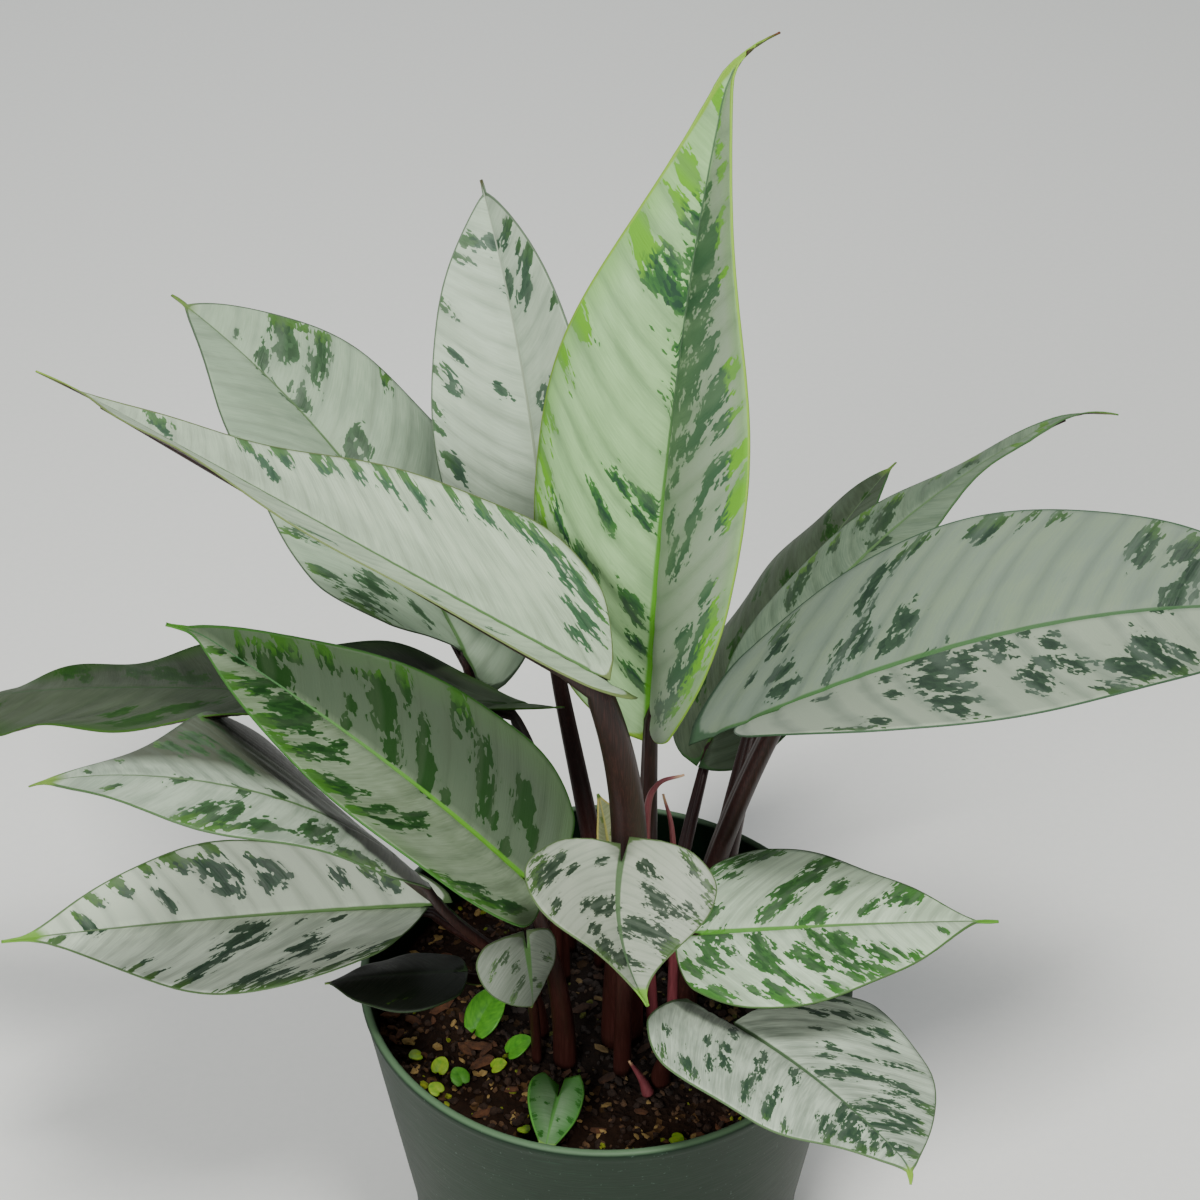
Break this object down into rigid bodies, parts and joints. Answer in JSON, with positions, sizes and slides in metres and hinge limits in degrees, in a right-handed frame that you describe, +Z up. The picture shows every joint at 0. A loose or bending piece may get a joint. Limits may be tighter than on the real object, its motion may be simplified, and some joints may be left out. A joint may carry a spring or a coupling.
{
  "type": "potted apoballis",
  "caption": "Potted foliage plant: silver, green-blotched leaves on burgundy petioles rising from soil in a round dark green nursery pot that stands on its foot ring.",
  "frame": {"origin": "middle of the pot's flat base, at the level that the pot stands on", "axes": "+Z up along the pot's axis; -Y towards the side that the leaves face; +X to the right when looking along +Y"},
  "size_m": [0.4587, 0.2669, 0.4331],
  "materials": {
    "pot_plastic": "satin",
    "potting_mix": "matte",
    "leaf": "satin",
    "petiole": "satin",
    "spear": "satin",
    "seedling": "satin"
  },
  "bodies": {
    "root": {"pot": "pot_plastic", "soil": "potting_mix", "blade_tall": "leaf", "petiole_tall": "petiole", "blade_upright": "leaf", "petiole_upright": "petiole", "blade_left_arch": "leaf", "petiole_left_arch": "petiole", "blade_left_back": "leaf", "petiole_left_back": "petiole", "blade_right_big": "leaf", "petiole_right_big": "petiole", "blade_right_near": "leaf", "petiole_right_near": "petiole", "blade_right_far": "leaf", "petiole_right_far": "petiole", "blade_mid_left": "leaf", "petiole_mid_left": "petiole", "blade_far_left": "leaf", "petiole_far_left": "petiole", "blade_left_mid": "leaf", "petiole_left_mid": "petiole", "blade_left_low": "leaf", "petiole_left_low": "petiole", "blade_front": "leaf", "petiole_front": "petiole", "blade_right_mid": "leaf", "petiole_right_mid": "petiole", "blade_right_low": "leaf", "petiole_right_low": "petiole", "blade_pot_small": "leaf", "petiole_pot_small": "petiole", "blade_baby": "leaf", "petiole_baby": "petiole", "blade_rim": "leaf", "petiole_rim": "petiole", "blade_folded": "leaf", "petiole_folded": "petiole", "spear_curved": "spear", "spear_straight": "spear", "spear_bud": "spear", "seedling_large": "seedling", "seedling_dark": "seedling", "seedling_small": "seedling"}
  },
  "joints": []
}
